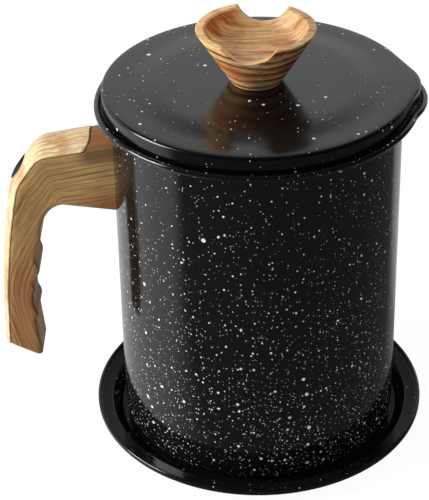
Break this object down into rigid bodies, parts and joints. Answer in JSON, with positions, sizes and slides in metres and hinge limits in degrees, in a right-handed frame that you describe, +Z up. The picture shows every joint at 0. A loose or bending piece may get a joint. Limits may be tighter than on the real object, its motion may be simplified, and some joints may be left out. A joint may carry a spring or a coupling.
{
  "type": "bacon grease container",
  "caption": "Lidded enamelled steel grease pot with a pouring beak, moulded side handle, lift-out strainer cup, petal knob lid and a shallow drip tray.",
  "frame": {"origin": "middle of the tray's flat underside, on the pot's axis", "axes": "+Z up along the pot's axis, +X towards the pouring beak, the handle on -X"},
  "size_m": [0.1713, 0.1352, 0.1726],
  "materials": {
    "speckled_enamel": "gloss black enamel with white speckles",
    "tray_enamel": "gloss black enamel with a few white speckles",
    "lid_enamel": "gloss black enamel with a few white speckles",
    "wood_look": "moulded, satin, with a printed wood grain",
    "pale_wood_look": "moulded, satin, with a pale printed wood grain",
    "steel": "plated",
    "stainless": "satin stainless steel",
    "woven_mesh": "fine woven stainless wire",
    "brass": "turned"
  },
  "bodies": {
    "tray": {"coaster_tray": "tray_enamel"},
    "pot": {"pot_body": "speckled_enamel", "handle_bracket": "steel", "handle_grip": "wood_look", "grip_cover": "pale_wood_look", "handle_screw": "steel", "handle_washer": "steel"},
    "strainer": {"strainer_cup": "stainless", "strainer_mesh": "woven_mesh", "strainer_ring": "stainless"},
    "lid": {"lid": "lid_enamel", "knob": "wood_look", "knob_insert": "brass", "knob_screw": "steel", "knob_washer": "steel"}
  },
  "joints": [
    {"name": "pot_lift", "type": "slide", "parent": "tray", "child": "pot", "axis": [0, 0, 1], "range_m": [0, 0.03]},
    {"name": "lid_lift", "type": "slide", "parent": "pot", "child": "lid", "axis": [0, 0, 1], "range_m": [0, 0.09]},
    {"name": "strainer_lift", "type": "slide", "parent": "pot", "child": "strainer", "axis": [0, 0, 1], "range_m": [0, 0.045]}
  ],
  "couplings": [
    {"joint": "strainer_lift", "follows": "lid_lift", "ratio": 0.5}
  ]
}
